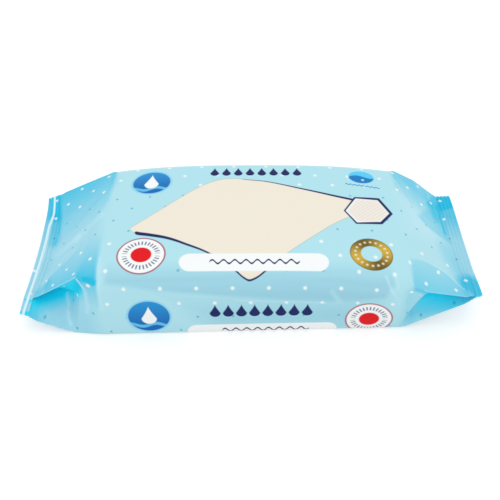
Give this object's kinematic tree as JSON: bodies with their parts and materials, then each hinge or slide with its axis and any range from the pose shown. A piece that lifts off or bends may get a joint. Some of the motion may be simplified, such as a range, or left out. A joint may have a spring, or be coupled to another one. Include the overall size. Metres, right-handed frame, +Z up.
{
  "type": "wet wipes pack",
  "caption": "Sealed flow-wrap film pack of wet wipes: soft oblong block with tucked ends, two ribbed end seals and a flat seam underneath.",
  "frame": {"origin": "under the middle of the pack, on the surface that it lies on", "axes": "+X along the pack from one end seal to the other, +Y across it with the front at -Y, +Z up through the top panel"},
  "size_m": [0.262, 0.1052, 0.0457],
  "materials": {
    "printed_film": "thin glossy plastic film printed in pale cyan, bluer towards both end seals"
  },
  "bodies": {
    "root": {"film_pack": "printed_film"}
  },
  "joints": []
}
